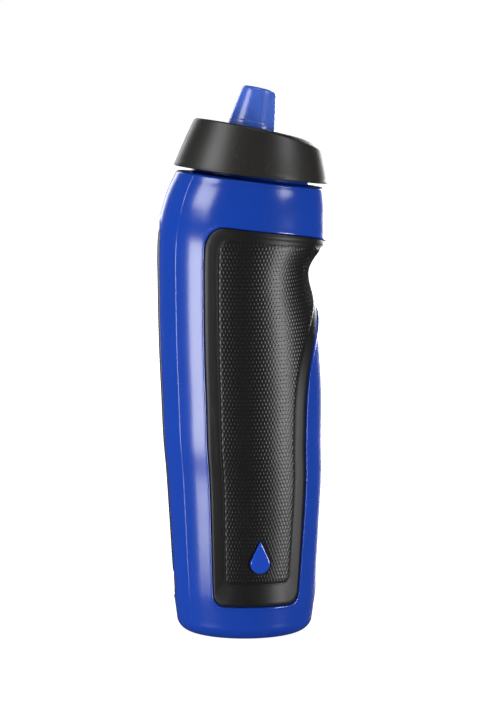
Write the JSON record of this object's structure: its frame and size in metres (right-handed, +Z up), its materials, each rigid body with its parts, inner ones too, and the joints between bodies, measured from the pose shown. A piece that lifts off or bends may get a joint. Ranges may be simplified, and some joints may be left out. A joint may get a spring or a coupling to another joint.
{
  "type": "sports squeeze bottle",
  "caption": "Squeeze bottle with a front finger notch, a knurled moulded-on grip, a slanted screw cap and a push-pull nozzle.",
  "frame": {"origin": "centre of the standing ring, in the plane that the bottle stands on", "axes": "+Z up along the body, +X towards the front, where the finger notch is; XZ is the plane of symmetry"},
  "size_m": [0.0751, 0.072, 0.236],
  "materials": {
    "body_blue": "glossy blow-moulded polyethylene",
    "grip_black": "satin thermoplastic elastomer with a diamond knurl",
    "badge_blue": "glossy",
    "gasket_white": "soft matt",
    "cap_black": "satin moulded polypropylene",
    "stem_black": "satin",
    "o_ring_black": "matt",
    "nozzle_blue": "soft, slightly translucent"
  },
  "bodies": {
    "bottle": {"bottle_body": "body_blue", "grip": "grip_black", "drop_badge": "badge_blue"},
    "gasket": {"neck_gasket": "gasket_white"},
    "cap": {"cap_shell": "cap_black", "valve_stem": "stem_black", "stem_o_ring": "o_ring_black"},
    "nozzle": {"nozzle": "nozzle_blue"}
  },
  "joints": [
    {"name": "cap_lift", "type": "slide", "parent": "bottle", "child": "gasket", "axis": [0.1582, 0, 0.9874], "range_m": [0, 0.00563]},
    {"name": "cap_turn", "type": "hinge", "parent": "gasket", "child": "cap", "pos_m": [0.0034, 0, 0.1958], "axis": [0.1582, 0, 0.9874], "range_deg": [0, 450]},
    {"name": "nozzle_pull", "type": "slide", "parent": "cap", "child": "nozzle", "axis": [0.2706, 0, 0.9627], "range_m": [0, 0.006]}
  ],
  "couplings": [
    {"joint": "cap_lift", "follows": "cap_turn", "m_per_rad": 0.0007162}
  ]
}
